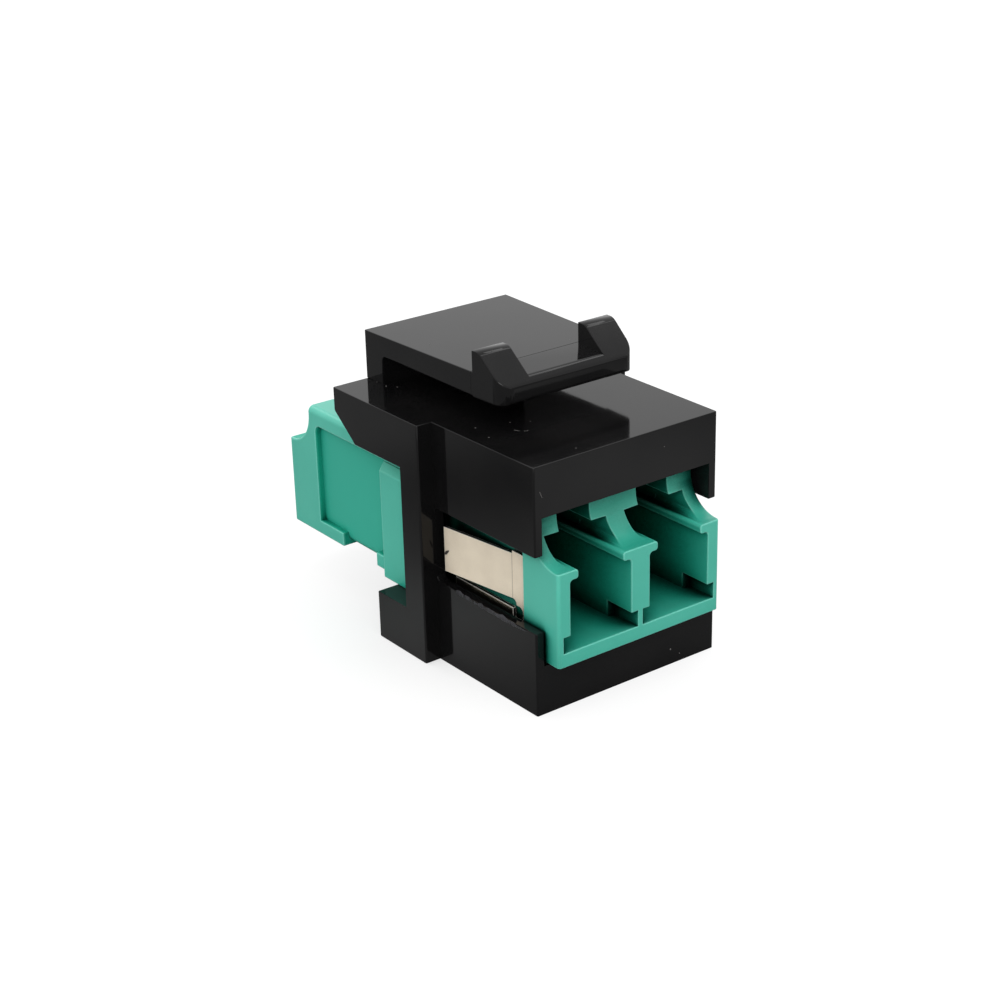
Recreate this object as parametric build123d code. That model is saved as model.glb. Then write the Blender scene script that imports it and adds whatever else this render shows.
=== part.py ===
from build123d import *
from math import radians, tan
import os

# Keystone coupler that joins two pairs of LC fibre plugs. All sizes in millimetres.
# X runs across the part, Y from its front (-Y) to its rear (+Y), Z up.
# The origin is under the middle of the part, on the plane that it stands on.

# Adapter body
adapter_length = 29.8
adapter_height = 9.28
adapter_edge_radius = 0.2
adapter_top_radius = 0.45
rib_length = 6.2
rib_proud = 0.43
rib_drop = 0.17
rib_side_height = 7.65
rib_slope_height = 0.55
rib_slope_inset = 0.38

# Side recess that carries the spring clip, with the notch and groove under it
recess_depth = 0.45
recess_from_end = 3.4
recess_base_height = 0.98
recess_height = 7.08
recess_corner_radius = 0.5
notch_from_end = 6.25
notch_length = 4.05
notch_corner_radius = 0.5
groove_depth = 0.27

# Plug ports, two side by side at each end
port_pitch = 6.25
port_width = 4.78
port_floor = 0.93
port_height = 4.7
port_corner_radius = 0.25
foot_groove_wall = 0.4
foot_groove_height = 1.05
foot_groove_length = 2.3
throat_width = 3.5
lip_thickness = 0.6
lip_radius = 0.2
channel_height = 1.43
channel_corner_radius = 0.4
roof_slot_width = 2.5
roof_slot_end = 6.4
catch_bar_length = 2.3
catch_pocket_height = 0.75
mouth_shelf = 0.2
mouth_radius = 2.45

# Bulkhead and sleeve barrels inside
bulkhead_half = 0.9
barrel_diameter = 2.7
barrel_tip_wall = 0.7
barrel_chamfer = 0.25
ferrule_entry_diameter = 1.42

# Alignment sleeves
sleeve_bore = 1.25
sleeve_wall = 0.18
sleeve_length = 6.8
sleeve_slit = 0.3
sleeve_side_clearance = 0.04
sleeve_end_clearance = 0.1

# Housing
housing_setback = 1.2
floor_thickness = 3.3
roof_thickness = 3.35
roof_clearance = 0.25
block_length = 10.04
block_side_wall = 0.6
block_side_clearance = 0.16
block_side_taper = 0.09
flange_width = 16.82
flange_post_length = 2.04
floor_overhang = 5.24
roof_overhang = 9.38
roof_chamfer_length = 2.29
roof_chamfer_height = 1.8
rib_side_clearance = 0.09
window_base_height = 5.6
window_height = 5.0
window_corner_radius = 0.35
housing_edge_radius = 0.12

# Latch
latch_root_width = 11.5
latch_nose_width = 10.5
latch_length = 14.02
latch_leg_length = 1.82
latch_gap = 1.95
latch_thickness = 1.36
latch_top_slope = 0.2
latch_base_slope = 1.2
latch_inner_radius = 0.4
ear_from_nose = 2.9
ear_width = 2.3
ear_height = 1.38
ear_crest_length = 0.67
ear_crest_radius = 0.8
ramp_top_radius = 0.5
ramp_foot_radius = 0.35
nose_height = 1.17
nose_top_slope = 2.3
nose_low_radius = 0.3
nose_corner_radius = 0.95

# Spring clip
clip_thickness = 0.25
clip_side_clearance = 0.05
clip_end_clearance = 0.08
clip_top_height = 6.2
clip_strip_length = 1.23
clip_tab_top_drop = 0.18
clip_tab_height = 3.05
clip_tab_length = 6.0
clip_tab_flare = 8.1
clip_rail_top_height = 2.33
clip_rail_length = 7.2
clip_rail_base_gap = 0.08
clip_neck = 0.25
clip_relief_radius = 0.35
clip_shoulder_radius = 0.31

# How far a cut runs past the face that it opens
overcut = 1.0

# Places worked out from the sizes above
foot_groove_width = port_pitch - foot_groove_wall
adapter_width = 2 * port_pitch + foot_groove_wall
adapter_end = -adapter_length / 2
adapter_base = floor_thickness + rib_drop
adapter_top = adapter_base + adapter_height
side_face = adapter_width / 2
rib_face = side_face + rib_proud
recess_face = side_face - recess_depth
recess_base = adapter_base + recess_base_height
recess_front = adapter_end + recess_from_end
notch_front = adapter_end + notch_from_end
groove_roof = adapter_base + groove_depth
port_base = adapter_base + port_floor
port_top = port_base + port_height
channel_base = port_top + lip_thickness
channel_top = channel_base + channel_height
ferrule_height = port_base + port_height / 2
mouth_shelf_end = adapter_end + mouth_shelf
catch_bar_front = mouth_shelf_end + mouth_radius
sleeve_diameter = sleeve_bore + 2 * sleeve_wall
barrel_bore = sleeve_diameter + 2 * sleeve_side_clearance
barrel_bore_end = sleeve_length / 2 + sleeve_end_clearance
barrel_end = barrel_bore_end + barrel_tip_wall

housing_front = adapter_end + housing_setback
flange_front = housing_front + block_length
post_rear = flange_front + flange_post_length
floor_rear = flange_front + floor_overhang
roof_rear = flange_front + roof_overhang
roof_base = adapter_top + roof_clearance
housing_top = roof_base + roof_thickness
cavity_face = side_face + block_side_clearance
block_front_face = cavity_face + block_side_wall
block_rear_face = block_front_face + block_side_taper
rib_pocket_face = rib_face + rib_side_clearance

latch_nose = roof_rear - latch_length
latch_top = housing_top + latch_gap + latch_thickness
ear_rear = latch_nose + ear_from_nose


def extrude_across(outline, half_span):
    """Extrude an outline drawn in Y and Z evenly to both sides of the middle plane."""
    return extrude(Plane.YZ * outline, amount=half_span, both=True)


def extrude_along(outline, start, end):
    """Extrude an outline drawn in X and Z from one Y to a larger one."""
    placed = Plane((0, end, 0), x_dir=(1, 0, 0), z_dir=(0, -1, 0)) * outline
    return extrude(placed, amount=end - start)


def extrude_up(outline, base, top):
    """Extrude a plan outline from one height to a larger one."""
    return extrude(Plane.XY.offset(base) * outline, amount=top - base)


def block(x, y, z):
    """A plain block between two places along each axis."""
    size = Box(x[1] - x[0], y[1] - y[0], z[1] - z[0])
    return Pos((x[0] + x[1]) / 2, (y[0] + y[1]) / 2, (z[0] + z[1]) / 2) * size


def rectangle(x, y):
    """A plain rectangle between two places along each of its axes."""
    return make_face(Polyline((x[0], y[0]), (x[1], y[0]), (x[1], y[1]), (x[0], y[1]), close=True))


def rounded_at(outline, points, radius):
    """The outline with the corners nearest to the given points rounded."""
    corners = []
    for point in points:
        corners.append(outline.vertices().sort_by_distance((point[0], point[1], 0))[0])
    return fillet(corners, radius)


def both_sides(solid):
    """The solid together with its mirror image across the middle plane."""
    return solid + mirror(solid, about=Plane.YZ)


def housing():
    """Black snap-in frame, moulded in one with its floor, roof and side posts."""
    plan = make_face(Polyline(
        (block_front_face, housing_front),
        (block_rear_face, flange_front),
        (flange_width / 2, flange_front),
        (flange_width / 2, roof_rear),
        (-flange_width / 2, roof_rear),
        (-flange_width / 2, flange_front),
        (-block_rear_face, flange_front),
        (-block_front_face, housing_front),
        close=True))
    outer_corners = []
    for side in (-1, 1):
        outer_corners.append((side * block_front_face, housing_front))
        outer_corners.append((side * flange_width / 2, flange_front))
        outer_corners.append((side * flange_width / 2, roof_rear))
    plan = rounded_at(plan, outer_corners, housing_edge_radius)
    body = extrude_up(plan, 0, housing_top)

    side = make_face(Polyline(
        (housing_front - overcut, 0),
        (floor_rear, 0),
        (floor_rear, floor_thickness),
        (post_rear, floor_thickness),
        (post_rear, roof_base),
        (roof_rear - roof_chamfer_length, roof_base),
        (roof_rear, roof_base + roof_chamfer_height),
        (roof_rear + overcut, roof_base + roof_chamfer_height),
        (roof_rear + overcut, housing_top),
        (housing_front - overcut, housing_top),
        close=True))
    body &= extrude_across(side, flange_width)

    rib_front = -rib_length / 2
    opening = (floor_thickness, roof_base)
    body -= block((-cavity_face, cavity_face), (housing_front - overcut, rib_front), opening)
    body -= block((-rib_pocket_face, rib_pocket_face), (rib_front, post_rear + overcut), opening)

    window_top = window_base_height + window_height
    window = rectangle((housing_front - overcut, flange_front), (window_base_height, window_top))
    rear_corners = [(flange_front, window_base_height), (flange_front, window_top)]
    window = rounded_at(window, rear_corners, window_corner_radius)
    body -= extrude_across(window, flange_width)
    return body


def latch():
    """Sprung latch arm on its leg, with two ramped ears that catch the panel."""
    underside = housing_top + latch_gap
    nose_base = underside - latch_length * tan(radians(latch_base_slope))
    leg_front = roof_rear - latch_leg_length
    ear_foot = latch_top - (roof_rear - ear_rear) * tan(radians(latch_top_slope))
    ear_top = ear_foot + ear_height
    crest_front = ear_rear - ear_crest_length
    ramp_foot = nose_base + nose_height

    # The ramp goes on from the ears across the whole nose, and cuts the top of the arm off at ramp_start.
    ramp_fall = (ear_top - ramp_foot) / (crest_front - latch_nose)
    arm_fall = tan(radians(nose_top_slope))
    gap_at_crest = ear_height + ear_crest_length * arm_fall
    ramp_start = crest_front - gap_at_crest / (ramp_fall - arm_fall)
    ramp_top = ear_foot - (ear_rear - ramp_start) * arm_fall

    arm = make_face(Polyline(
        (roof_rear, housing_top),
        (roof_rear, latch_top),
        (ear_rear, ear_foot),
        (ramp_start, ramp_top),
        (latch_nose, ramp_foot),
        (latch_nose, nose_base),
        (leg_front, underside),
        (leg_front, housing_top),
        close=True))
    arm = rounded_at(arm, [(ramp_start, ramp_top)], ramp_top_radius)
    arm = rounded_at(arm, [(latch_nose, ramp_foot)], ramp_foot_radius)
    arm = rounded_at(arm, [(latch_nose, nose_base)], nose_low_radius)
    arm = rounded_at(arm, [(leg_front, underside)], latch_inner_radius)

    ear = make_face(Polyline(
        (ear_rear, nose_base),
        (ear_rear, ear_top),
        (crest_front, ear_top),
        (latch_nose, ramp_foot),
        (latch_nose, nose_base),
        close=True))
    ear = rounded_at(ear, [(latch_nose, ramp_foot)], ramp_foot_radius)
    ear = rounded_at(ear, [(crest_front, ear_top)], ear_crest_radius)
    ear = rounded_at(ear, [(latch_nose, nose_base)], nose_low_radius)

    root_face = latch_root_width / 2
    nose_face = latch_nose_width / 2
    ear_inner = nose_face - ear_width
    body = extrude_across(arm, root_face)
    body += both_sides(extrude(Plane.YZ.offset(ear_inner) * ear, amount=root_face - ear_inner))

    plan = make_face(Polyline(
        (root_face, roof_rear),
        (nose_face, latch_nose),
        (-nose_face, latch_nose),
        (-root_face, roof_rear),
        close=True))
    plan = rounded_at(plan, [(nose_face, latch_nose), (-nose_face, latch_nose)], nose_corner_radius)
    body &= extrude_up(plan, housing_top, ear_top + overcut)
    return body


def port_section(centre):
    """Cross-section of one plug port below its roof, drawn in X and Z."""
    port = (centre - port_width / 2, centre + port_width / 2)
    throat = (centre - throat_width / 2, centre + throat_width / 2)
    section = rectangle(port, (port_base, port_top))
    section += rectangle(throat, (port_base, channel_base))
    section += rectangle(port, (channel_base, channel_top))
    section = rounded_at(section, [(x, port_top) for x in port], port_corner_radius)
    section = rounded_at(section, [(x, channel_base) for x in port], channel_corner_radius)
    lips = []
    for x in throat:
        lips.append((x, port_top))
        lips.append((x, channel_base))
    return rounded_at(section, lips, lip_radius)


def foot_groove(centre):
    """Wider room at the mouth of one port, along its floor."""
    across = (centre - foot_groove_width / 2, centre + foot_groove_width / 2)
    along = (adapter_end - overcut, adapter_end + foot_groove_length)
    return block(across, along, (port_base, port_base + foot_groove_height))


def mouth_cut():
    """What the mouth leaves out above the lips: a hollow quarter round up to the catch bars."""
    round_top = channel_base + mouth_radius
    start = (mouth_shelf_end, channel_base)
    end = (catch_bar_front, round_top)
    outline = Line((adapter_end - overcut, channel_base), start)
    outline += RadiusArc(start, end, -mouth_radius)
    outline += Polyline(
        end,
        (catch_bar_front, adapter_top + overcut),
        (adapter_end - overcut, adapter_top + overcut),
        (adapter_end - overcut, channel_base))
    return extrude_across(make_face(outline), adapter_width)


def clip_inside():
    """Inner outline of the bent clip in X and Z, which the body under it follows."""
    outline = rectangle((-recess_face, recess_face), (groove_roof, adapter_top))
    corners = [(-recess_face, groove_roof), (recess_face, groove_roof)]
    return rounded_at(outline, corners, notch_corner_radius)


def barrel():
    """Tube that stands out of the bulkhead round one alignment sleeve."""
    tube = extrude_along(Circle(barrel_diameter / 2), -barrel_end, 0)
    tube = chamfer(tube.edges().group_by(Axis.Y)[0], barrel_chamfer)
    return tube


def adapter_front_shell():
    """Front half of the aqua adapter: two ports, half of the rib and the bulkhead."""
    plan = rectangle((-side_face, side_face), (adapter_end, 0))
    end_corners = [(-side_face, adapter_end), (side_face, adapter_end)]
    plan = rounded_at(plan, end_corners, adapter_edge_radius)
    body = extrude_up(plan, adapter_base, adapter_top)
    section = rectangle((-side_face, side_face), (adapter_base, adapter_top))
    top_corners = [(-side_face, adapter_top), (side_face, adapter_top)]
    section = rounded_at(section, top_corners, adapter_top_radius)
    body &= extrude_along(section, adapter_end, 0)

    rib_side_top = floor_thickness + rib_side_height
    rib_top = rib_side_top + rib_slope_height
    rib = make_face(Polyline(
        (rib_face, floor_thickness),
        (rib_face, rib_side_top),
        (rib_face - rib_slope_inset, rib_top),
        (-rib_face + rib_slope_inset, rib_top),
        (-rib_face, rib_side_top),
        (-rib_face, floor_thickness),
        close=True))
    body += extrude_along(rib, -rib_length / 2, 0)

    recess = rectangle((recess_front, -rib_length / 2), (recess_base, recess_base + recess_height))
    recess_corner = [(recess_front, recess_base + recess_height)]
    recess = rounded_at(recess, recess_corner, recess_corner_radius)
    body -= both_sides(extrude(Plane.YZ.offset(recess_face) * recess, amount=overcut))
    notch = rectangle((-adapter_width, adapter_width), (0, recess_base)) - clip_inside()
    body -= extrude_along(notch, notch_front, notch_front + notch_length)

    barrels = Part()
    for centre in (-port_pitch / 2, port_pitch / 2):
        body -= extrude_along(port_section(centre), adapter_end - overcut, -bulkhead_half)
        body -= foot_groove(centre)
        slot = (centre - roof_slot_width / 2, centre + roof_slot_width / 2)
        slot_run = (adapter_end - overcut, -roof_slot_end)
        body -= block(slot, slot_run, (channel_base, adapter_top + overcut))
        pocket = (centre - port_width / 2, centre + port_width / 2)
        pocket_run = (catch_bar_front + catch_bar_length, -roof_slot_end)
        body -= block(pocket, pocket_run, (channel_base, channel_top + catch_pocket_height))
        barrels += Pos(centre, 0, ferrule_height) * barrel()
    body -= mouth_cut()
    body += barrels
    for centre in (-port_pitch / 2, port_pitch / 2):
        bore = extrude_along(Circle(barrel_bore / 2), -barrel_bore_end, 0)
        entry = extrude_along(Circle(ferrule_entry_diameter / 2), -barrel_end, 0)
        body -= Pos(centre, 0, ferrule_height) * (bore + entry)
    return body


def alignment_sleeve(centre):
    """Split ceramic sleeve that lines up the two ferrules of one fibre."""
    tube = Circle(sleeve_diameter / 2) - Circle(sleeve_bore / 2)
    slit = rectangle((-sleeve_slit / 2, sleeve_slit / 2), (0, sleeve_diameter))
    sleeve = extrude_along(tube - slit, -sleeve_length / 2, sleeve_length / 2)
    return Pos(centre, 0, ferrule_height) * sleeve


def spring_clip():
    """Stainless strip bent round the adapter, with a flared tab on each side."""
    outer_face = recess_face + clip_thickness
    plate_front = recess_front + clip_end_clearance
    bend = plate_front + clip_strip_length
    plate_base = recess_base + clip_rail_base_gap
    plate_top = adapter_base + clip_top_height
    rail_top = adapter_base + clip_rail_top_height
    rail_rear = plate_front + clip_rail_length

    outer = rectangle((-outer_face, outer_face), (groove_roof - clip_thickness, rail_top))
    outer_corners = []
    for side in (-1, 1):
        outer_corners.append((side * outer_face, groove_roof - clip_thickness))
    outer = rounded_at(outer, outer_corners, notch_corner_radius + clip_thickness)
    leg_front = notch_front + clip_side_clearance
    leg_rear = notch_front + notch_length - clip_side_clearance
    clip = extrude_along(outer - clip_inside(), leg_front, leg_rear)

    tab_top = plate_top - clip_tab_top_drop
    tab_base = tab_top - clip_tab_height
    plate = rectangle((plate_front, bend), (plate_base, plate_top))
    plate += rectangle((plate_front, rail_rear), (plate_base, rail_top))
    relief_base = rail_top - 2 * clip_relief_radius
    relief_top = tab_base - clip_relief_radius
    relief = rectangle((plate_front + clip_neck, bend), (relief_base, relief_top))
    relief_corners = [(plate_front + clip_neck, relief_base), (plate_front + clip_neck, relief_top)]
    plate -= rounded_at(relief, relief_corners, clip_relief_radius)
    shoulder = rectangle((bend - clip_relief_radius, bend), (relief_base, tab_base))
    shoulder_corner = [(bend - clip_relief_radius, tab_base)]
    plate -= rounded_at(shoulder, shoulder_corner, clip_shoulder_radius)
    side_plate = extrude(Plane.YZ.offset(recess_face) * plate, amount=clip_thickness)
    tab = block((0, clip_thickness), (0, clip_tab_length), (tab_base, tab_top))
    tab = Pos(recess_face, bend, 0) * Rot(0, 0, -clip_tab_flare) * tab
    clip += both_sides(side_plate + tab)
    return clip


front_shell = adapter_front_shell()
nodes = {
    "keystone_housing": housing(),
    "keystone_latch": latch(),
    "adapter_front_shell": front_shell,
    "adapter_rear_shell": mirror(front_shell, about=Plane.XZ),
    "spring_clip": spring_clip(),
    "alignment_sleeve_left": alignment_sleeve(-port_pitch / 2),
    "alignment_sleeve_right": alignment_sleeve(port_pitch / 2),
}

os.makedirs("parts", exist_ok=True)
for name, solid in nodes.items():
    export_step(solid, "parts/" + name + ".step")
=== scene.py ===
import random
from math import cos, pi, radians, sin

import bmesh
import bpy
from mathutils import Euler, Matrix, Vector, noise


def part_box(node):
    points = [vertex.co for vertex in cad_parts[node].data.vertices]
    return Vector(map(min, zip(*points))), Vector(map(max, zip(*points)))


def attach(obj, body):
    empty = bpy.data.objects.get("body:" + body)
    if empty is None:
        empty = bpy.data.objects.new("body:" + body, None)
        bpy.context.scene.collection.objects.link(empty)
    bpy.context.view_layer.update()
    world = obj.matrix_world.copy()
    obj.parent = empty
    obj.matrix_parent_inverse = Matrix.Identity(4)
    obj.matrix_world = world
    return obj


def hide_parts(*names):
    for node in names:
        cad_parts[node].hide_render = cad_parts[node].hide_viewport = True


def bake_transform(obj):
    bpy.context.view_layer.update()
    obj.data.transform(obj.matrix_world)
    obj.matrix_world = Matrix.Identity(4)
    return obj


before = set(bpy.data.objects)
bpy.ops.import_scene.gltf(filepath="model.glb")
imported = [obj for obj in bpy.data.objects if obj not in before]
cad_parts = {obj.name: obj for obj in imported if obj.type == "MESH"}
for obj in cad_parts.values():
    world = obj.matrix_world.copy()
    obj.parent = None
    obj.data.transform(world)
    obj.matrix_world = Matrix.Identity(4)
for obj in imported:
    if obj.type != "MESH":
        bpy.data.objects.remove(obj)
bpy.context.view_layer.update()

mm = 0.001


# Camera. The coupler was photographed from above its front left corner with a long lens, so its upright
# edges stay nearly parallel. Place, turn and lens come from the straight edges of the housing and adapter.
camera_place = (-72.585 * mm, -98.281 * mm, 59.920 * mm)
camera_pitch = 66.941
camera_roll = 1.389
camera_heading = -37.247
camera_lens = 72.06
camera_near = 5 * mm
camera_far = 5

camera = bpy.data.objects.new("camera", bpy.data.cameras.new("camera"))
camera.data.lens = camera_lens
camera.data.clip_start = camera_near
camera.data.clip_end = camera_far
camera.location = camera_place
camera.rotation_euler = Euler([radians(a) for a in (camera_pitch, camera_roll, camera_heading)])
bpy.context.scene.collection.objects.link(camera)
bpy.context.scene.camera = camera


# Housing. One black moulding, polished in the tool so that its faces mirror the room, with edges left crisp
# by the steel. Its open side windows take the clip's tabs, and its posts stop on the back of the panel.
housing_edge = 0.055 * mm


def material(name, base_color, roughness):
    """A new node material with its own shader."""
    made = bpy.data.materials.new(name)
    made.use_nodes = True
    shader = made.node_tree.nodes["Principled BSDF"]
    shader.inputs["Base Color"].default_value = (*base_color, 1)
    shader.inputs["Roughness"].default_value = roughness
    return made, shader


def gray(level):
    """A neutral colour of one level."""
    return (level, level, level)


def new_group(name, inputs, outputs):
    """A node group with named number inputs at their usual values, and named outputs."""
    group = bpy.data.node_groups.new(name, "ShaderNodeTree")
    for title, value in inputs.items():
        socket = group.interface.new_socket(title, in_out="INPUT", socket_type="NodeSocketFloat")
        socket.default_value = value
    for title, kind in outputs.items():
        group.interface.new_socket(title, in_out="OUTPUT", socket_type=kind)
    return group, group.nodes.new("NodeGroupInput"), group.nodes.new("NodeGroupOutput")


def sum_of(tree, operation, first, second):
    """The result of one sum on two numbers, each an output or a plain number."""
    node = tree.nodes.new("ShaderNodeMath")
    node.operation = operation
    for socket, value in zip(node.inputs, (first, second)):
        if isinstance(value, (int, float)):
            socket.default_value = value
        else:
            tree.links.new(value, socket)
    return node.outputs[0]


def moulded_skin_group():
    """The skin of a moulded face: slow waves left by the tool, fine grain, and a cloudy mask."""
    kinds = {"Height": "NodeSocketFloat", "Cloud": "NodeSocketFloat"}
    usual = {"Wave size": 3.0, "Grain size": 0.2, "Grain share": 0.3}
    group, given, result = new_group("moulded skin", usual, kinds)
    place = group.nodes.new("ShaderNodeTexCoord")

    def noise_of(size_name, detail):
        """Noise whose size is given in millimetres."""
        field = group.nodes.new("ShaderNodeTexNoise")
        field.inputs["Detail"].default_value = detail
        group.links.new(place.outputs["Object"], field.inputs["Vector"])
        group.links.new(sum_of(group, "DIVIDE", 1 / mm, given.outputs[size_name]), field.inputs["Scale"])
        return field.outputs["Fac"]

    waves = noise_of("Wave size", 1)
    grain = noise_of("Grain size", 2)
    blend = group.nodes.new("ShaderNodeMix")
    group.links.new(given.outputs["Grain share"], blend.inputs["Factor"])
    group.links.new(waves, blend.inputs["A"])
    group.links.new(grain, blend.inputs["B"])
    group.links.new(blend.outputs["Result"], result.inputs["Height"])
    group.links.new(noise_of("Wave size", 4), result.inputs["Cloud"])
    return group


def dust_group():
    """Sparse pale specks: a mask that is 1 on each speck and 0 elsewhere."""
    usual = {"Spacing": 2.5, "Speck radius": 0.05, "Share": 0.3}
    group, given, result = new_group("dust", usual, {"Mask": "NodeSocketFloat"})
    place = group.nodes.new("ShaderNodeTexCoord")
    cells = group.nodes.new("ShaderNodeTexVoronoi")
    group.links.new(place.outputs["Object"], cells.inputs["Vector"])
    group.links.new(sum_of(group, "DIVIDE", 1 / mm, given.outputs["Spacing"]), cells.inputs["Scale"])
    reach = sum_of(group, "DIVIDE", given.outputs["Speck radius"], given.outputs["Spacing"])
    near = sum_of(group, "LESS_THAN", cells.outputs["Distance"], reach)
    chosen = sum_of(group, "LESS_THAN", cells.outputs["Color"], given.outputs["Share"])
    group.links.new(sum_of(group, "MULTIPLY", near, chosen), result.inputs["Mask"])
    return group


def cross_line_group():
    """A thin line across a piece, at a place along its length. Both numbers are in millimetres."""
    usual = {"Place": 0, "Width": 0.06}
    group, given, result = new_group("cross line", usual, {"Mask": "NodeSocketFloat"})
    place = group.nodes.new("ShaderNodeTexCoord")
    spot = group.nodes.new("ShaderNodeSeparateXYZ")
    group.links.new(place.outputs["Object"], spot.inputs["Vector"])
    line = sum_of(group, "MULTIPLY", given.outputs["Place"], mm)
    beside = sum_of(group, "ABSOLUTE", sum_of(group, "SUBTRACT", spot.outputs["Y"], line), 0)
    half = sum_of(group, "MULTIPLY", given.outputs["Width"], mm / 2)
    group.links.new(sum_of(group, "LESS_THAN", beside, half), result.inputs["Mask"])
    return group


def placed(tree, group, **values):
    """One copy of a node group in a material's tree, with that material's own values."""
    node = tree.nodes.new("ShaderNodeGroup")
    node.node_tree = group
    for title, value in values.items():
        node.inputs[title.replace("_", " ").capitalize()].default_value = value
    return node


def raised(tree, height, depth, shader, normal=None):
    """Raises the surface by a height of the given depth in metres, over a softened normal if given."""
    bump = tree.nodes.new("ShaderNodeBump")
    bump.inputs["Strength"].default_value = 1
    bump.inputs["Distance"].default_value = depth
    tree.links.new(height, bump.inputs["Height"])
    if normal is not None:
        tree.links.new(normal, bump.inputs["Normal"])
    tree.links.new(bump.outputs["Normal"], shader.inputs["Normal"])


def shaded(tree, source, stops):
    """A colour or a grey that follows a mask from one stop to the next."""
    node = tree.nodes.new("ShaderNodeValToRGB")
    elements = node.color_ramp.elements
    while len(elements) < len(stops):
        elements.new(0.5)
    for element, (place, color) in zip(elements, stops):
        element.position = place
        element.color = (*color, 1)
    tree.links.new(source, node.inputs["Fac"])
    return node.outputs["Color"]


def mixed(tree, mask, first, second):
    """One colour or another, by a mask. Each may be an output or a plain colour."""
    node = tree.nodes.new("ShaderNodeMix")
    node.data_type = "RGBA"
    if mask is not None:
        tree.links.new(mask, node.inputs["Factor"])
    for title, value in (("A", first), ("B", second)):
        socket = [s for s in node.inputs if s.name == title and s.type == "RGBA"][0]
        if isinstance(value, tuple):
            socket.default_value = (*value, 1)
        else:
            tree.links.new(value, socket)
    return [s for s in node.outputs if s.type == "RGBA"][0]


skin = moulded_skin_group()
dust = dust_group()
cross_line = cross_line_group()

black = (0.005, 0.005, 0.0053)
black_clouds = [(0.3, (0.0042, 0.0042, 0.0045)), (0.7, (0.0066, 0.0064, 0.0065))]
black_roughness = 0.08
black_shine = [(0.3, gray(0.05)), (0.75, gray(0.1))]
black_mirror = 0.235
black_relief = 0.003 * mm
speck_color = (0.12, 0.115, 0.11)
line_roughness = 0.8


def black_plastic(name, line_place=0, line_width=0):
    """Glossy black moulded plastic: clouds in its shine, a few specks, and a dull line if it has a width."""
    made, shader = material(name, black, black_roughness)
    tree = made.node_tree
    surface = placed(tree, skin, wave_size=4.0, grain_size=0.12, grain_share=0.12)
    specks = placed(tree, dust, spacing=1.9, speck_radius=0.03, share=0.12)
    line = placed(tree, cross_line, place=line_place, width=line_width)
    tint = shaded(tree, surface.outputs["Cloud"], black_clouds)
    color = mixed(tree, specks.outputs["Mask"], tint, speck_color)
    tree.links.new(color, shader.inputs["Base Color"])
    shine = shaded(tree, surface.outputs["Cloud"], black_shine)
    roughness = mixed(tree, line.outputs["Mask"], shine, gray(line_roughness))
    tree.links.new(roughness, shader.inputs["Roughness"])
    shader.inputs["Specular IOR Level"].default_value = black_mirror
    raised(tree, surface.outputs["Height"], black_relief, shader)
    return made


weld_reach = 0.0002 * mm
flat_turn = radians(0.4)
outer_turn = radians(25)
seam_turn = radians(32)
edge_steps = 2
face_weight = 80


def softened(node, name, edge):
    """A copy of a piece with its outer edges rounded a little, as the tool leaves them."""
    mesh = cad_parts[node].data.copy()
    mesh.name = name
    mesh.materials.clear()
    form = bmesh.new()
    form.from_mesh(mesh)
    bmesh.ops.remove_doubles(form, verts=form.verts, dist=weld_reach)
    bmesh.ops.dissolve_limit(form, angle_limit=flat_turn, verts=form.verts, edges=form.edges)
    outer = [e for e in form.edges if e.is_manifold and e.calc_face_angle_signed() > outer_turn]
    bmesh.ops.bevel(form, geom=outer, offset=edge, segments=edge_steps, profile=0.5, affect="EDGES",
                    clamp_overlap=False, miter_outer="ARC")
    for face in form.faces:
        face.smooth = True
    for seam in form.edges:
        seam.smooth = seam.is_manifold and seam.calc_face_angle() < seam_turn
    form.to_mesh(mesh)
    form.free()
    piece = bpy.data.objects.new(name, mesh)
    bpy.context.scene.collection.objects.link(piece)
    shading = piece.modifiers.new("normals", "WEIGHTED_NORMAL")
    shading.keep_sharp = True
    shading.weight = face_weight
    bpy.context.view_layer.update()
    final = bpy.data.meshes.new_from_object(piece.evaluated_get(bpy.context.evaluated_depsgraph_get()))
    piece.modifiers.clear()
    piece.data = final
    piece.data.name = name
    return piece


def dressed(piece, finish, body, slot, *nodes):
    """Gives a piece its finish and fixes it to the body that carries it."""
    piece.data.materials.clear()
    piece.data.materials.append(finish)
    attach(piece, body)
    if nodes:
        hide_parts(*nodes)


housing = softened("keystone_housing", "moulded_housing", housing_edge)
housing_finish = black_plastic("housing black")
dressed(housing, housing_finish, "coupler", "black_plastic", "keystone_housing")


# Burr. The steel that forms the left window tore the plastic a little as it slid out, and left a ragged lip
# along the window's lower outer edge. It is the housing's own plastic.
burr_start = -12.9 * mm
burr_end = -5.0 * mm
burr_face = -7.23 * mm
burr_base = 5.5 * mm
burr_height = 0.17 * mm
burr_depth = 0.045 * mm
burr_steps = 110
burr_sides = 7
rough_waves, rough_row, rough_share = 2.1, 3.7, 0.8
fine_waves, fine_row, fine_share = 7.3, 5.1, 0.5
burr_usual, burr_least = 0.75, 0.03
burr_taper = 8
sideways_wander = 0.02 * mm
upward_wander = 0.06 * mm
torn_black = (0.02, 0.02, 0.024)
torn_clouds = [(0.35, (0.008, 0.008, 0.01)), (0.65, (0.035, 0.035, 0.042))]
torn_roughness = 0.4
torn_relief = 0.02 * mm


def new_piece(name, form):
    """A piece of its own, made from a finished form."""
    mesh = bpy.data.meshes.new(name)
    form.to_mesh(mesh)
    form.free()
    piece = bpy.data.objects.new(name, mesh)
    bpy.context.scene.collection.objects.link(piece)
    return piece


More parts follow.
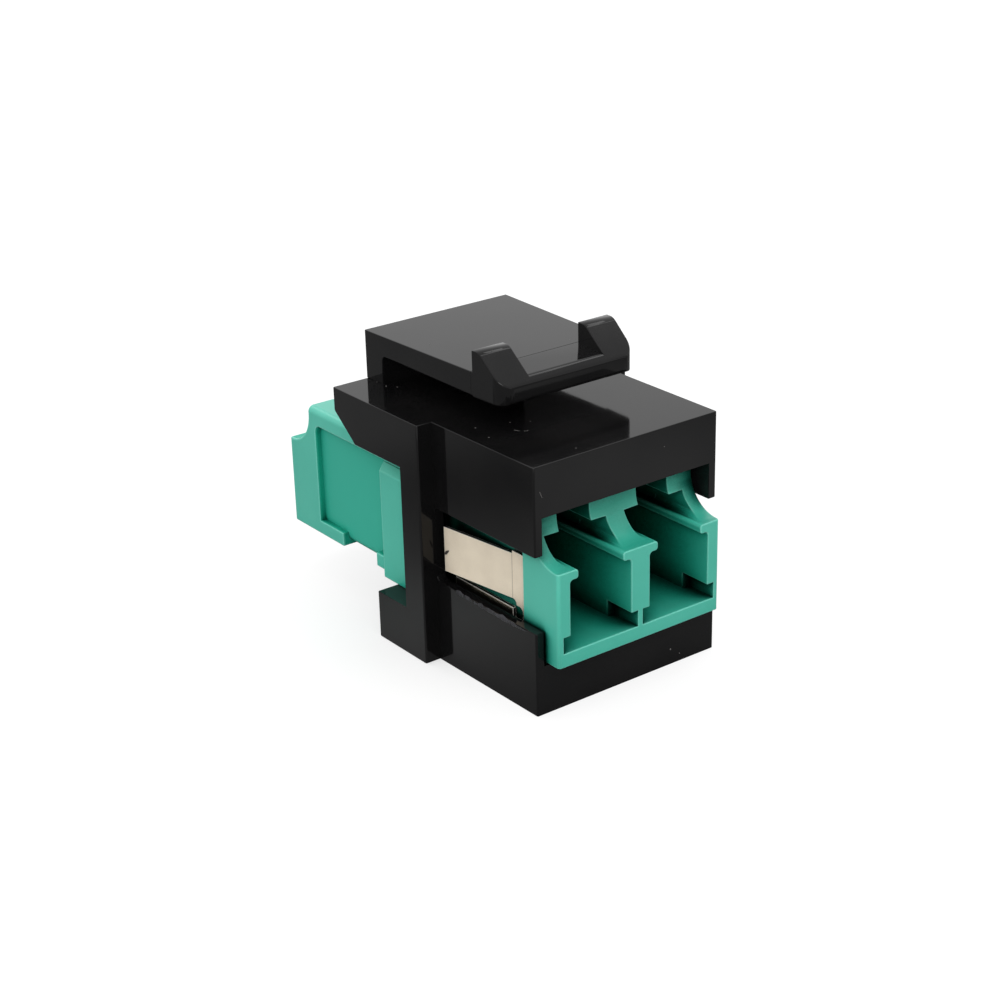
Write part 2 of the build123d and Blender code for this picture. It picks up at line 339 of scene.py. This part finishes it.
def cloudy(name, color, roughness, clouds, **grain):
    """A material whose colour drifts through soft clouds, with its shader and its own skin."""
    made, shader = material(name, color, roughness)
    surface = placed(made.node_tree, skin, **grain)
    tint = shaded(made.node_tree, surface.outputs["Cloud"], clouds)
    made.node_tree.links.new(tint, shader.inputs["Base Color"])
    return made, shader, surface


def torn_lip(name):
    """A thin bead of uneven thickness that wanders along an edge."""
    form = bmesh.new()
    rings = []
    for step in range(burr_steps + 1):
        share = step / burr_steps
        y = burr_start + (burr_end - burr_start) * share
        rough = noise.noise(Vector((y / mm * rough_waves, rough_row, 0)))
        fine = noise.noise(Vector((y / mm * fine_waves, 0, fine_row)))
        taper = min(1, burr_taper * share, burr_taper * (1 - share))
        size = (burr_usual + rough_share * rough + fine_share * fine) * taper + burr_least
        x = burr_face - sideways_wander * (1 + fine)
        z = burr_base + upward_wander * rough
        ring = []
        for side in range(burr_sides):
            turn = 2 * pi * side / burr_sides
            out = burr_depth * size * cos(turn)
            up = burr_height * size * sin(turn)
            ring.append(form.verts.new((x + out, y, z + up)))
        rings.append(ring)
    for first, second in zip(rings, rings[1:]):
        for side in range(burr_sides):
            after = (side + 1) % burr_sides
            form.faces.new((first[side], first[after], second[after], second[side]))
    form.faces.new(rings[0][::-1])
    form.faces.new(rings[-1])
    bmesh.ops.recalc_face_normals(form, faces=form.faces)
    return new_piece(name, form)


def torn_plastic(name):
    """Black plastic where it tore: paler and rougher than the moulded skin."""
    grain = {"wave_size": 0.5, "grain_size": 0.06, "grain_share": 0.5}
    made, shader, surface = cloudy(name, torn_black, torn_roughness, torn_clouds, **grain)
    raised(made.node_tree, surface.outputs["Height"], torn_relief, shader)
    return made


dressed(torn_lip("window_burr"), torn_plastic("torn black"), "coupler", "black_plastic")


# Dust. A few pale flakes and short fibres that lie on the black faces. They are on the roof and on the
# front, where the light picks them out, and each is a tenth of a millimetre or so across.
housing_low, housing_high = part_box("keystone_housing")
roof_top = housing_high.z
housing_front = housing_low.y

# In millimetres: the place of each flake along the roof or on the front, and its size, and the bends of each
# fibre. The thread is a row of small flakes that clings to the front.
roof_flakes = [(-5.83, -6.26, 0.09), (-6.17, -8.08, 0.07), (-3.65, -6.89, 0.06), (-2.61, -7.57, 0.05)]
roof_flakes += [(-3.3, -12.83, 0.08), (-5.71, 3.55, 0.11), (-5.27, 2.92, 0.09), (-5.71, 4.6, 0.06)]
front_flakes = [(3.55, 1.09, 0.09), (4.33, 0.54, 0.06), (2.88, 15.1, 0.045)]
front_thread = [(-6.74 + 0.02 * i, 14.72 - 0.05 * i, 0.04) for i in range(8)]
roof_fibres = [[(-4.25, -8.1), (-4.2, -8.28), (-4.08, -8.42)]]
roof_fibres += [[(-3.92, -8.62), (-3.8, -8.72), (-3.64, -8.7)]]

flake_height = 0.012 * mm
flake_stretch = (0.6, 1.4)
flake_waves = 1.7
flake_dents = 0.5
fibre_width = 0.02 * mm
fibre_steps = 8
dust_seed = 7
dust_color = (0.2, 0.19, 0.18)
dust_clouds = [(0.3, (0.1, 0.095, 0.09)), (0.7, (0.3, 0.29, 0.28))]
dust_roughness = 0.9
powder_grain = {"wave_size": 0.1, "grain_size": 0.03, "grain_share": 0.5}


def dust_piece(name, lying, standing, fibres):
    """Flakes that lie flat, flakes that cling to the front, and bent fibres, each by its place and size."""
    form = bmesh.new()
    chance = random.Random(dust_seed)

    def flake(place, size, upright):
        """One uneven flake, flat on the roof or flat on the front."""
        made = bmesh.ops.create_icosphere(form, subdivisions=2, radius=1)["verts"]
        stretch = chance.uniform(*flake_stretch)
        turn = Matrix.Rotation(chance.uniform(0, pi), 3, "Z")
        stand = Matrix.Rotation(radians(90) if upright else 0, 3, "X")
        for vert in made:
            bump = 1 + flake_dents * noise.noise(vert.co * flake_waves + Vector(place) / mm)
            flat = Vector((vert.co.x * size / 2 * stretch, vert.co.y * size / 2, 0)) * bump
            flat.z = vert.co.z * flake_height
            vert.co = stand @ (turn @ flat) + Vector(place)

    for x, y, z, size in lying:
        flake((x * mm, y * mm, z), size * mm, False)
    for x, z, size in standing:
        flake((x * mm, housing_front, z * mm), size * mm, True)
    for fibre in fibres:
        for (x0, y0), (x1, y1) in zip(fibre, fibre[1:]):
            for step in range(fibre_steps):
                share = step / fibre_steps
                spot = ((x0 + (x1 - x0) * share) * mm, (y0 + (y1 - y0) * share) * mm, roof_top)
                flake(spot, fibre_width, False)
    return new_piece(name, form)


settled = [(x, y, roof_top, size) for x, y, size in roof_flakes]
housing_dust = dust_piece("housing_dust", settled, front_flakes + front_thread, roof_fibres)
dust_finish = cloudy("dust", dust_color, dust_roughness, dust_clouds, **powder_grain)[0]
dressed(housing_dust, dust_finish, "coupler", "black_plastic")


# Latch. Moulded in one with the roof of the housing: a springy arm on a leg, with two ramped ears that slide
# under the edge of the panel and snap up behind it. Pressing it down bends its leg and frees the coupler.
latch_edge = 0.07 * mm
latch_line = -5.28
latch_line_width = 0.07

latch_flakes = [(-4.25, 0.57, 19.65, 0.05), (-4.44, 0.21, 19.65, 0.04)]
latch_flakes += [(2.95, -4.59, 19.62, 0.06), (-4.32, -6.14, 20.95, 0.07)]

latch = softened("keystone_latch", "moulded_latch", latch_edge)
latch.data.materials.append(black_plastic("latch black", latch_line, latch_line_width))
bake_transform(latch)
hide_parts("keystone_latch")

settled = [(x, y, z * mm, size) for x, y, z, size in latch_flakes]
dressed(dust_piece("latch_dust", settled, [], []), dust_finish, "latch", "black_plastic")


# Adapter. Two aqua shells, each with two plug ports, welded together under the rib. The plastic is slightly
# milky. Its edges carry a painted highlight, and painted shade takes the deep ports and the gap behind the
# clip's tabs to a dark green, and the sunken faces of the rear shell to a deeper teal.
adapter_edge = 0.05 * mm
aqua = (0.07, 0.49, 0.37)
aqua_clouds = [(0.3, (0.066, 0.475, 0.36)), (0.72, (0.085, 0.52, 0.4))]
# Painted shade: the aqua darkens to deep green where faces close it in, as deep in the ports.
aqua_depth_shade = [(0.12, (0, 0.03, 0.02)), (0.3, (0.02, 0.2, 0.16)), (0.52, (0.2, 0.76, 0.7)), (0.85, gray(1))]
aqua_roughness = 0.32
aqua_shine = [(0.3, gray(0.28)), (0.7, gray(0.38))]
aqua_gloss = 0.95
aqua_gloss_roughness = 0.33
aqua_mirror = 0.03
aqua_relief = 0.006 * mm
milk = 0.1
milk_reach = (0.25, 1.0, 0.75)
milk_depth = 0.4 * mm
# Painted highlight: a pale aqua strip along the outer edges, kept out of the inner corners.
ridge_highlight_color = (0.32, 0.85, 0.72)
ridge_highlight_share = 0.55
ridge_stops = [(0.62, gray(0)), (0.88, gray(1))]
strip_gain = 22
# Painted shade: the sunken faces of the rear shell take a deeper teal, and their coat is dulled.
recess_shade_color = (0.045, 0.42, 0.31)
recess_dulling = 0.72
recess_half_width = 6.3
recess_top = 11.55
# Painted shade in narrow gaps: nearly black on the front shell, as behind the clip's tabs; slight on the
# rear.
crowded_gap_shade = [(0.3, gray(0.02)), (0.55, gray(0.2)), (0.78, gray(0.85)), (0.9, gray(1))]
clear = [(0.2, gray(0.6)), (0.5, gray(1))]


def soft_edge_group():
    """Rounds every edge by a radius in millimetres, and marks the strip beside it."""
    kinds = {"Normal": "NodeSocketVector", "Mask": "NodeSocketFloat"}
    group, given, result = new_group("soft edge", {"Radius": 0.12}, kinds)
    rounding = group.nodes.new("ShaderNodeBevel")
    rounding.samples = 6
    group.links.new(sum_of(group, "MULTIPLY", given.outputs["Radius"], mm), rounding.inputs["Radius"])
    face = group.nodes.new("ShaderNodeNewGeometry")
    turned = group.nodes.new("ShaderNodeVectorMath")
    turned.operation = "DOT_PRODUCT"
    group.links.new(rounding.outputs["Normal"], turned.inputs[0])
    group.links.new(face.outputs["Normal"], turned.inputs[1])
    away = sum_of(group, "SUBTRACT", 1, turned.outputs["Value"])
    strip = sum_of(group, "MULTIPLY", away, strip_gain)
    strip.node.use_clamp = True
    group.links.new(rounding.outputs["Normal"], result.inputs["Normal"])
    group.links.new(strip, result.inputs["Mask"])
    return group


def shelter_group():
    """How open a place is to the light: 1 in the open, less with pieces within a reach in millimetres."""
    group, given, result = new_group("shelter", {"Reach": 3.0}, {"Open": "NodeSocketFloat"})
    around = group.nodes.new("ShaderNodeAmbientOcclusion")
    around.samples = 8
    group.links.new(sum_of(group, "MULTIPLY", given.outputs["Reach"], mm), around.inputs["Distance"])
    group.links.new(around.outputs["AO"], result.inputs["Open"])
    return group


def recess_group():
    """A mask of what lies nearer the middle than the shell's sides and below its top, in millimetres."""
    usual = {"Half width": 6.3, "Top": 11.55, "Share": 1}
    group, given, result = new_group("recess", usual, {"Mask": "NodeSocketFloat"})
    place = group.nodes.new("ShaderNodeTexCoord")
    spot = group.nodes.new("ShaderNodeSeparateXYZ")
    group.links.new(place.outputs["Object"], spot.inputs["Vector"])
    side = sum_of(group, "MULTIPLY", given.outputs["Half width"], mm)
    top = sum_of(group, "MULTIPLY", given.outputs["Top"], mm)
    inside = sum_of(group, "LESS_THAN", sum_of(group, "ABSOLUTE", spot.outputs["X"], 0), side)
    under = sum_of(group, "LESS_THAN", spot.outputs["Z"], top)
    within = sum_of(group, "MULTIPLY", inside, under)
    group.links.new(sum_of(group, "MULTIPLY", within, given.outputs["Share"]), result.inputs["Mask"])
    return group


def times(tree, first, second):
    """Two colours multiplied."""
    product = mixed(tree, None, first, second)
    product.node.blend_type = "MULTIPLY"
    product.node.inputs["Factor"].default_value = 1
    return product


soft_edge = soft_edge_group()
shelter = shelter_group()
recess = recess_group()


def aqua_plastic(name, gap_shade_stops, edge_radius, recess_share):
    """Satin aqua plastic, a little milky, with soft flow clouds, a painted highlight on its edges,
    and painted shade in its depths, its gaps and, where set, its sunken faces.
    """
    made, shader = material(name, aqua, aqua_roughness)
    tree = made.node_tree
    surface = placed(tree, skin, wave_size=5.0, grain_size=0.09, grain_share=0.5)
    rounding = placed(tree, soft_edge, radius=edge_radius)
    far = placed(tree, shelter, reach=7.0)
    near = placed(tree, shelter, reach=3.0)
    sunk = placed(tree, recess, half_width=recess_half_width, top=recess_top, share=recess_share)
    dulled = sunk.outputs["Mask"]

    # Painted shade, from how closed in each place is, multiplied into the colour.
    depth = shaded(tree, far.outputs["Open"], aqua_depth_shade)
    gap = shaded(tree, near.outputs["Open"], gap_shade_stops)
    light = times(tree, depth, gap)
    # Painted highlight along the edges, laid over the painted shade.
    on_ridge = shaded(tree, near.outputs["Open"], ridge_stops)
    ridge = sum_of(tree, "MULTIPLY", rounding.outputs["Mask"], on_ridge)
    tint = shaded(tree, surface.outputs["Cloud"], aqua_clouds)
    # The sunken faces get their painted shade of a deeper teal here.
    lit = times(tree, mixed(tree, dulled, tint, recess_shade_color), light)
    color = mixed(tree, sum_of(tree, "MULTIPLY", ridge, ridge_highlight_share), lit, ridge_highlight_color)
    tree.links.new(color, shader.inputs["Base Color"])

    # The coat's reflection fades with the painted shade, so the shaded places lose their shine too.
    gloss = sum_of(tree, "SUBTRACT", aqua_gloss, sum_of(tree, "MULTIPLY", dulled, recess_dulling))
    tree.links.new(sum_of(tree, "MULTIPLY", light, gloss), shader.inputs["Coat Weight"])
    shader.inputs["Coat Roughness"].default_value = aqua_gloss_roughness
    shader.inputs["Specular IOR Level"].default_value = aqua_mirror
    shine = shaded(tree, surface.outputs["Cloud"], aqua_shine)
    tree.links.new(shine, shader.inputs["Roughness"])
    shader.inputs["Subsurface Weight"].default_value = milk
    shader.inputs["Subsurface Radius"].default_value = milk_reach
    shader.inputs["Subsurface Scale"].default_value = milk_depth
    raised(tree, surface.outputs["Height"], aqua_relief, shader, rounding.outputs["Normal"])
    return made


for side, gap_shade_stops, edge_radius, recess_share in (("front", crowded_gap_shade, 0.13, 0), ("rear", clear, 0.2, 1)):
    node = f"adapter_{side}_shell"
    shell = softened(node, f"moulded_{side}_shell", adapter_edge)
    finish = aqua_plastic(f"{side} aqua", gap_shade_stops, edge_radius, recess_share)
    dressed(shell, finish, "coupler", "aqua_plastic", node)


# Spring clip. A strip of stainless spring sheet, stamped, then bent round the bottom of the adapter. Its
# side tabs flare out and catch the rear ends of the housing's windows. The rolling left fine lines along it.
clip_edge = 0.035 * mm
steel = (0.9, 0.79, 0.62)
steel_clouds = [(0.3, (0.87, 0.76, 0.6)), (0.7, (0.94, 0.83, 0.66))]
steel_metal = 0.3
steel_mirror = 0.1
steel_roughness = 0.34
steel_shine = [(0.35, gray(0.28)), (0.65, gray(0.42))]
steel_relief = 0.003 * mm
# Painted shade: the steel goes nearly black where the window closes it in, as on the strip under the tab.
steel_gap_shade = [(0.5, gray(0.005)), (0.8, gray(1))]
line_stretch = (1, 0.04, 1)
line_scale = 14 / mm
line_detail = 3
bend_place = -10.19
bend_width = 0.07
bend_color = (0.42, 0.33, 0.27)
bend_share = 0.6
# Painted highlight: a pale strip along the sheet's edges, laid over the painted shade.
edge_highlight_color = (1, 0.97, 0.9)
edge_highlight_radius = 0.08
edge_highlight_share = 0.7


def clip_steel(name):
    """Rolled stainless sheet: a soft, warm shine with fine lines along the strip, painted shade where it is
    closed in, and a painted highlight along its edges.
    """
    made, shader = material(name, steel, steel_roughness)
    tree = made.node_tree
    surface = placed(tree, skin, wave_size=1.2, grain_size=0.06, grain_share=0.6)
    bend = placed(tree, cross_line, place=bend_place, width=bend_width)
    near = placed(tree, shelter, reach=3.0)
    rounding = placed(tree, soft_edge, radius=edge_highlight_radius)

    place = tree.nodes.new("ShaderNodeTexCoord")
    along = tree.nodes.new("ShaderNodeMapping")
    along.inputs["Scale"].default_value = line_stretch
    lines = tree.nodes.new("ShaderNodeTexNoise")
    lines.inputs["Scale"].default_value = line_scale
    lines.inputs["Detail"].default_value = line_detail
    tree.links.new(place.outputs["Object"], along.inputs["Vector"])
    tree.links.new(along.outputs["Vector"], lines.inputs["Vector"])

    tint = shaded(tree, surface.outputs["Cloud"], steel_clouds)
    crease = sum_of(tree, "MULTIPLY", bend.outputs["Mask"], bend_share)
    # Painted shade where the sheet is closed in, multiplied into its colour.
    light = shaded(tree, near.outputs["Open"], steel_gap_shade)
    lit = times(tree, mixed(tree, crease, tint, bend_color), light)
    # Painted highlight along the edges.
    edge = sum_of(tree, "MULTIPLY", rounding.outputs["Mask"], edge_highlight_share)
    tree.links.new(mixed(tree, edge, lit, edge_highlight_color), shader.inputs["Base Color"])

    shader.inputs["Metallic"].default_value = steel_metal
    shader.inputs["Specular IOR Level"].default_value = steel_mirror
    shine = shaded(tree, lines.outputs["Fac"], steel_shine)
    tree.links.new(shine, shader.inputs["Roughness"])
    height = tree.nodes.new("ShaderNodeMix")
    height.inputs["Factor"].default_value = 0.5
    tree.links.new(surface.outputs["Height"], height.inputs["A"])
    tree.links.new(lines.outputs["Fac"], height.inputs["B"])
    raised(tree, height.outputs["Result"], steel_relief, shader)
    return made


clip = softened("spring_clip", "bent_spring_clip", clip_edge)
dressed(clip, clip_steel("clip stainless"), "coupler", "clip_steel", "spring_clip")


# Nick. A small bent dent in the sheet of the clip, near the free end of the left tab. It is drawn as a dark
# strip that follows the flare of the tab.
nick_place = (-7.09 * mm, -4.55 * mm, 7.78 * mm)
nick_length = 0.36 * mm
nick_width = 0.2 * mm
nick_least = 0.002 * mm
nick_fullness = 0.6
nick_lean = -0.85
nick_bow = 0.06 * mm
nick_proud = 0.01 * mm
nick_steps = 12
tab_flare = radians(8.1)
# The nick is drawn in a near-black brown.
nick_color = (0.02, 0.017, 0.014)
nick_clouds = [(0.3, (0.01, 0.008, 0.007)), (0.7, (0.05, 0.042, 0.035))]
nick_roughness = 0.8


def nick_mark(name):
    """A short bent strip, widest in its middle, that stands a hair proud of the tab."""
    form = bmesh.new()
    rows = []
    for step in range(nick_steps + 1):
        share = step / nick_steps
        half = nick_width / 2 * sin(pi * share) ** nick_fullness + nick_least
        up = (share - 0.5) * nick_length
        bow = nick_bow * sin(pi * share)
        row = []
        for across, proud in ((-1, 0), (0, nick_proud), (1, 0)):
            y = bow + across * half + up * nick_lean
            row.append(form.verts.new((-proud, y, up)))
        rows.append(row)
    for first, second in zip(rows, rows[1:]):
        for column in range(2):
            form.faces.new((first[column], second[column], second[column + 1], first[column + 1]))
    bmesh.ops.rotate(form, verts=form.verts, matrix=Matrix.Rotation(tab_flare, 3, "Z"))
    bmesh.ops.translate(form, verts=form.verts, vec=nick_place)
    return new_piece(name, form)


nick_finish = cloudy("dark nick", nick_color, nick_roughness, nick_clouds, **powder_grain)[0]
dressed(nick_mark("tab_nick"), nick_finish, "coupler", "clip_steel")


# Alignment sleeves. Ground white ceramic tubes, slit along their length, that close round the two ferrules
# of one fibre. They lie in the barrels of the adapter, and only their ends can be seen.
sleeve_edge = 0.03 * mm
ceramic = (0.82, 0.81, 0.77)
ceramic_clouds = [(0.3, (0.79, 0.78, 0.74)), (0.7, (0.85, 0.84, 0.81))]
ceramic_roughness = 0.22
ceramic_relief = 0.001 * mm


def white_ceramic(name):
    """Ground ceramic: white, smooth and faintly cloudy."""
    grain = {"wave_size": 1.0, "grain_size": 0.05, "grain_share": 0.4}
    made, shader, surface = cloudy(name, ceramic, ceramic_roughness, ceramic_clouds, **grain)
    raised(made.node_tree, surface.outputs["Height"], ceramic_relief, shader)
    return made


sleeve_finish = white_ceramic("sleeve ceramic")
for side in ("left", "right"):
    sleeve = softened(f"alignment_sleeve_{side}", f"ceramic_sleeve_{side}", sleeve_edge)
    dressed(sleeve, sleeve_finish, "coupler", "white_ceramic", f"alignment_sleeve_{side}")


# Table and light. The coupler stands on a pale table in a white tent. One soft lamp is behind it, one
# above its right side and one off its front left corner. The camera sees the table as white, with a shadow.
table_half = 0.6
table_gray = 0.24
table_white = 1.04
table_mirrored = 0.08
table_roughness = 0.9

# The polished black sides mirror the table, which carries painted pools of light and shade. Each pool is its
# middle and its reach in millimetres, and how much paler or darker its middle is.
painted_table_pools = [(-11, 0, 14, 0.34), (21, -42, 28, 0.3), (-28, 18, 17, -0.2)]

table_mesh = bpy.data.meshes.new("table")
corners = [(-table_half, -table_half, 0), (table_half, -table_half, 0)]
corners += [(table_half, table_half, 0), (-table_half, table_half, 0)]
table_mesh.from_pydata(corners, [], [(0, 1, 2, 3)])
table = bpy.data.objects.new("table", table_mesh)
bpy.context.scene.collection.objects.link(table)

table_paint, table_shader = material("pale table", gray(table_gray), table_roughness)
table_shader.inputs["Specular IOR Level"].default_value = 0
tree = table_paint.node_tree
place = tree.nodes.new("ShaderNodeTexCoord")
tone = table_gray
# Each painted pool of light or shade is added to the table's tone.
for x, y, reach, change in painted_table_pools:
    apart = tree.nodes.new("ShaderNodeVectorMath")
    apart.operation = "DISTANCE"
    apart.inputs[1].default_value = (x * mm, y * mm, 0)
    tree.links.new(place.outputs["Object"], apart.inputs[0])
    fall = tree.nodes.new("ShaderNodeMapRange")
    fall.interpolation_type = "SMOOTHSTEP"
    fall.inputs["From Max"].default_value = reach * mm
    fall.inputs["To Min"].default_value = change
    fall.inputs["To Max"].default_value = 0
    tree.links.new(apart.outputs["Value"], fall.inputs["Value"])
    tone = sum_of(tree, "ADD", tone, fall.outputs["Result"])
tree.links.new(tone, table_shader.inputs["Base Color"])

# The camera sees the whole lift to white, and what mirrors the table or lets it through sees a share of it.
ray = tree.nodes.new("ShaderNodeLightPath")
mirrored = sum_of(tree, "ADD", ray.outputs["Is Glossy Ray"], ray.outputs["Is Transmission Ray"])
mirrored = sum_of(tree, "MULTIPLY", mirrored, table_mirrored)
shown = sum_of(tree, "ADD", ray.outputs["Is Camera Ray"], mirrored)
lift = sum_of(tree, "SUBTRACT", table_white, tone)
white = tree.nodes.new("ShaderNodeEmission")
both = tree.nodes.new("ShaderNodeAddShader")
tree.links.new(sum_of(tree, "MULTIPLY", shown, lift), white.inputs["Strength"])
tree.links.new(table_shader.outputs["BSDF"], both.inputs[0])
tree.links.new(white.outputs["Emission"], both.inputs[1])
tree.links.new(both.outputs["Shader"], tree.nodes["Material Output"].inputs["Surface"])
table_mesh.materials.append(table_paint)

world = bpy.data.worlds.new("tent")
world.use_nodes = True
tent = world.node_tree.nodes["Background"]
tent.inputs["Color"].default_value = (1, 1, 1, 1)
tent.inputs["Strength"].default_value = 1
bpy.context.scene.world = world

lamp_aim = Vector((0, 0, 0.01))


def soft_box(name, place, size, glow):
    """A flat square lamp that faces the coupler. Its power follows from its size and its glow."""
    lamp = bpy.data.lights.new(name, "AREA")
    lamp.shape = "RECTANGLE"
    lamp.size = size
    lamp.size_y = size
    lamp.energy = glow * pi * size * size
    box = bpy.data.objects.new(name, lamp)
    box.location = place
    box.rotation_euler = (lamp_aim - Vector(place)).to_track_quat("-Z", "Y").to_euler()
    bpy.context.scene.collection.objects.link(box)


soft_box("lamp_rear", (-0.06, 0.44, 0.4), 0.2, 2.2)
soft_box("lamp_top", (0.3, 0.02, 0.48), 0.22, 2.4)
soft_box("lamp_left", (-0.32, -0.34, 0.24), 0.25, 4.0)

bpy.context.scene.view_settings.view_transform = "Standard"
